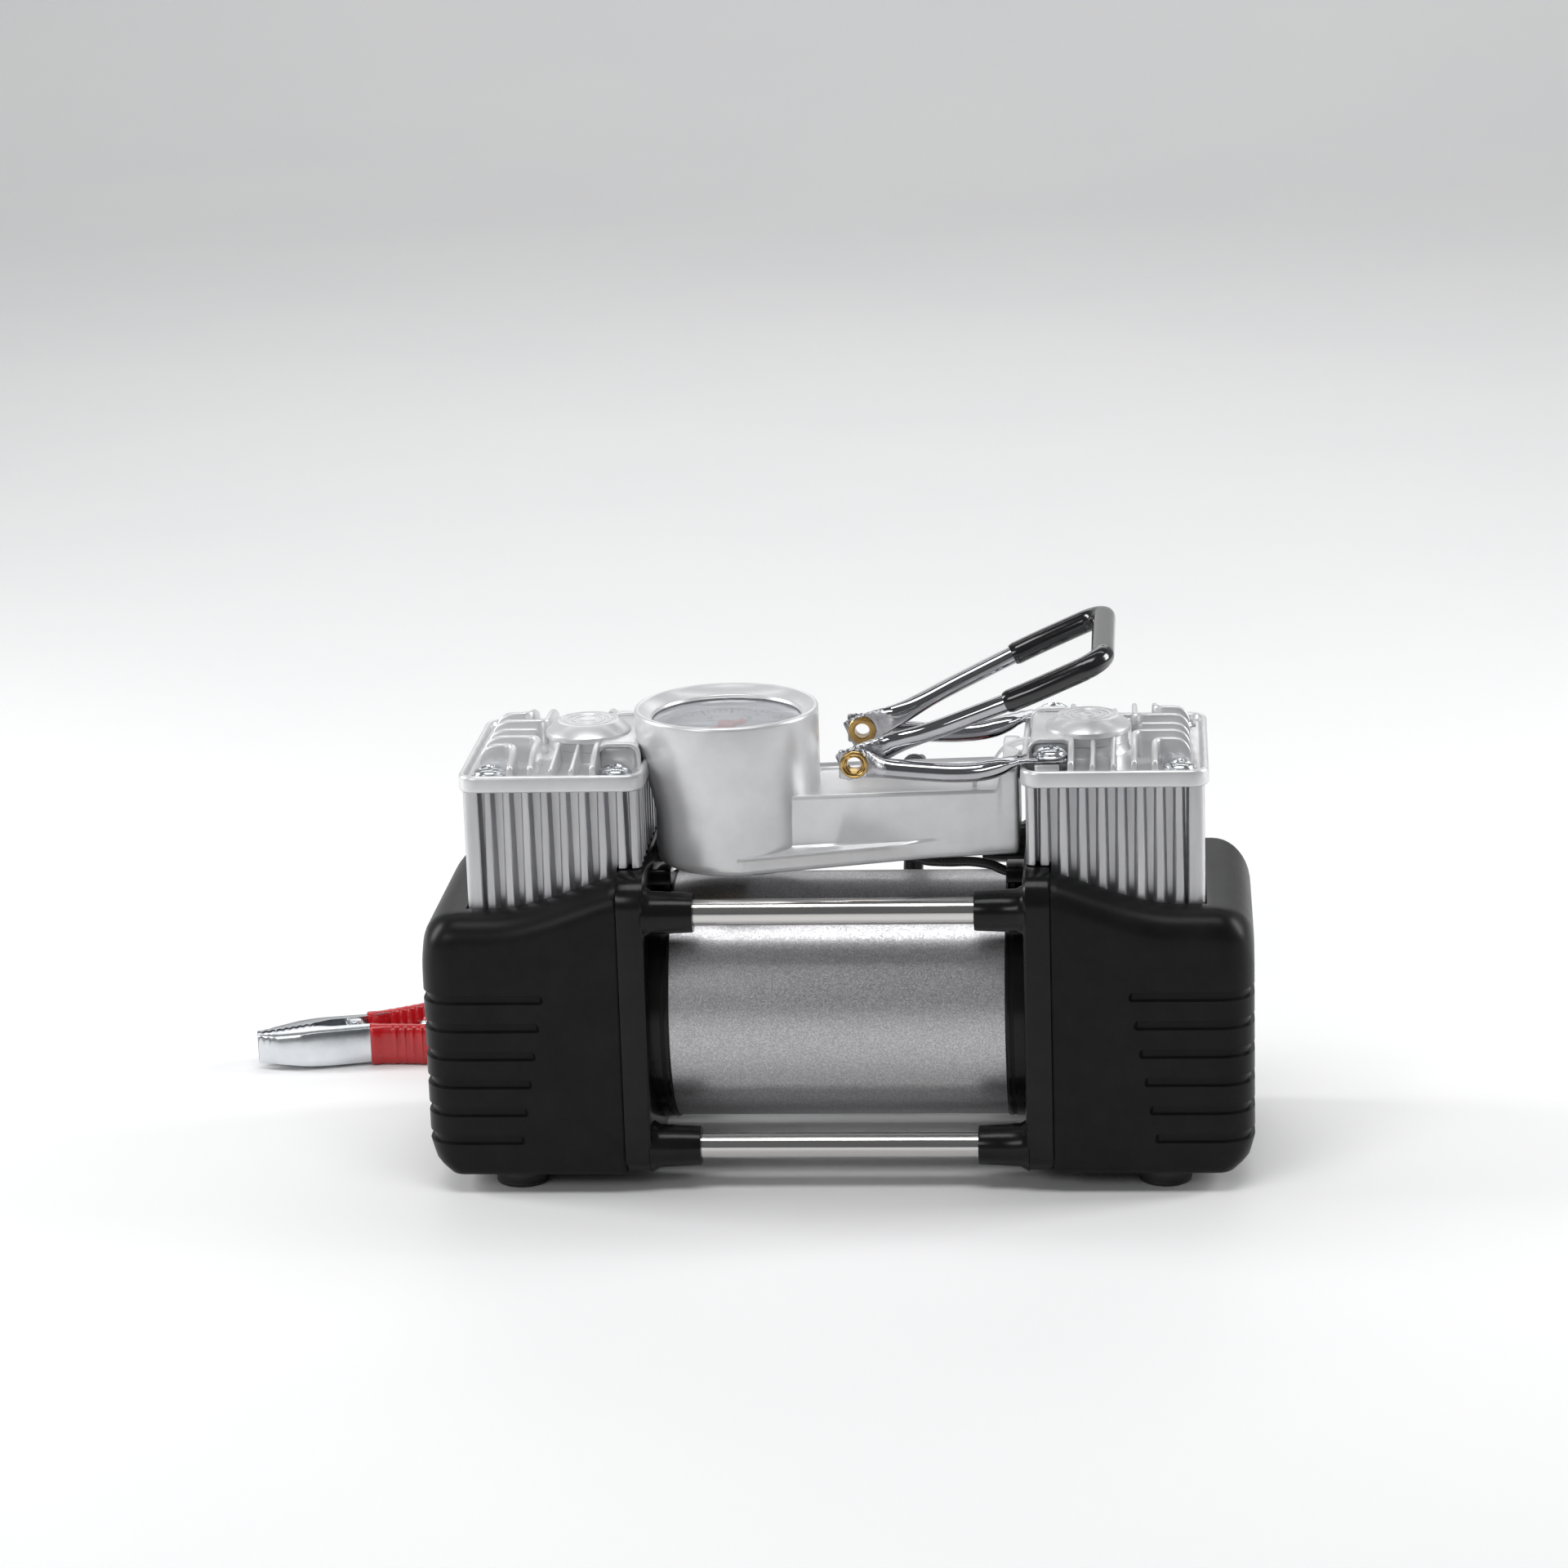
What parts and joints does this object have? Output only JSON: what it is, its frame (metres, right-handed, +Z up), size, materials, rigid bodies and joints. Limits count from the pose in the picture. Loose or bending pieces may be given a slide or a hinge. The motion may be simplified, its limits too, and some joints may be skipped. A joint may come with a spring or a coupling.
{
  "type": "twin cylinder air compressor",
  "caption": "Portable air compressor with a motor between two crankcases, a finned cylinder at each end, a pressure gauge, a folding carry handle and a battery-clip lead.",
  "frame": {"origin": "on the surface the rubber feet stand on, under the middle of the motor shaft", "axes": "+X along the motor shaft towards the switch end, +Y to the back, where the air outlet is, +Z up"},
  "size_m": [0.3255, 0.2359, 0.165],
  "materials": {
    "silver_paint": "metallic silver paint",
    "black_casting": "satin black powder coat",
    "bright_casting": "bright silver, satin-gloss",
    "raw_aluminium": "cast aluminium",
    "polished_steel": "polished",
    "chrome": "bright chrome",
    "zinc": "bright zinc",
    "brass": "plain brass",
    "copper": "enamelled copper wire",
    "core_steel": "stacked steel sheet",
    "ferrite": "ferrite magnet",
    "black_plastic": "black moulded plastic",
    "red_plastic": "red moulded plastic",
    "grip": "glossy black vinyl",
    "rubber": "black rubber",
    "cable_black": "black cable jacket",
    "cable_red": "red cable jacket",
    "seal": "filled sealing ring",
    "dial_white": "matt white dial",
    "needle_red": "matt red",
    "lens": "clear"
  },
  "bodies": {
    "unit": {"motor_shell": "silver_paint", "motor_cap_left": "black_casting", "motor_cap_right": "black_casting", "stator_magnets": "ferrite", "carbon_brushes": "ferrite", "shaft_bearings": "polished_steel", "crankcase_plate_left": "black_casting", "crankcase_plate_right": "black_casting", "end_cover_left": "black_casting", "end_cover_right": "black_casting", "tie_rods": "polished_steel", "rubber_feet": "rubber", "foot_screws": "zinc", "cover_screws": "zinc", "cylinder_left": "raw_aluminium", "cylinder_right": "raw_aluminium", "valve_plate_left": "zinc", "valve_plate_right": "zinc", "reed_valves": "polished_steel", "cylinder_head_left": "bright_casting", "cylinder_head_right": "bright_casting", "valve_cap_left": "bright_casting", "valve_cap_right": "bright_casting", "head_screws": "zinc", "gauge_housing": "bright_casting", "gauge_lens": "lens", "gauge_dial": "dial_white", "gauge_movement": "brass", "outlet_fitting": "brass", "switch_body": "black_plastic", "cord_gland": "black_plastic", "motor_lead": "cable_black", "link_front": "chrome", "link_rear": "chrome", "hinge_rivets": "brass", "power_cord": "cable_black", "cord_coil": "cable_black", "red_lead": "cable_red", "black_lead": "cable_black", "red_clip_fixed_jaw": "red_plastic", "black_clip_fixed_jaw": "black_plastic", "clip_springs": "zinc"},
    "needle": {"gauge_needle": "needle_red"},
    "rocker": {"switch_rocker": "red_plastic"},
    "handle": {"handle_bail": "chrome", "handle_grip": "grip"},
    "red_clip_jaw": {"red_clip_moving_jaw": "red_plastic"},
    "black_clip_jaw": {"black_clip_moving_jaw": "black_plastic"},
    "rotor": {"motor_shaft": "polished_steel", "armature_core": "core_steel", "armature_windings": "copper", "commutator": "copper", "crank_disc_left": "core_steel", "crank_disc_right": "core_steel"},
    "piston_left": {"con_rod_left": "raw_aluminium", "crank_bearing_left": "polished_steel", "piston_cup_left": "seal"},
    "piston_right": {"con_rod_right": "raw_aluminium", "crank_bearing_right": "polished_steel", "piston_cup_right": "seal"}
  },
  "joints": [
    {"name": "needle_turn", "type": "hinge", "parent": "unit", "child": "needle", "pos_m": [-0.0331, -0.004, 0.135], "axis": [0, 0, -1], "range_deg": [0, 270], "stiffness_Nm_per_rad": 0.00001},
    {"name": "rocker_tilt", "type": "hinge", "parent": "unit", "child": "rocker", "pos_m": [0.04, 0.0161, 0.1105], "axis": [0, 0, -1], "range_deg": [0, 20]},
    {"name": "handle_fold", "type": "hinge", "parent": "unit", "child": "handle", "pos_m": [0.0064, 0, 0.1285], "axis": [0, -1, 0], "range_deg": [-8, 104]},
    {"name": "rotor_spin", "type": "hinge", "parent": "unit", "child": "rotor", "pos_m": [0, 0, 0.05], "axis": [1, 0, 0], "continuous": true},
    {"name": "piston_left_stroke", "type": "slide", "parent": "unit", "child": "piston_left", "axis": [0, 0, 1], "range_m": [-0.014, 0]},
    {"name": "piston_right_stroke", "type": "slide", "parent": "unit", "child": "piston_right", "axis": [0, 0, 1], "range_m": [0, 0.014]},
    {"name": "red_clip_open", "type": "hinge", "parent": "unit", "child": "red_clip_jaw", "pos_m": [-0.16887, 0.08281, 0.007], "axis": [0, 0, 1], "range_deg": [0, 20], "stiffness_Nm_per_rad": 0.8},
    {"name": "black_clip_open", "type": "hinge", "parent": "unit", "child": "black_clip_jaw", "pos_m": [-0.06505, 0.06801, 0.007], "axis": [0, 0, 1], "range_deg": [0, 20], "stiffness_Nm_per_rad": 0.8}
  ]
}
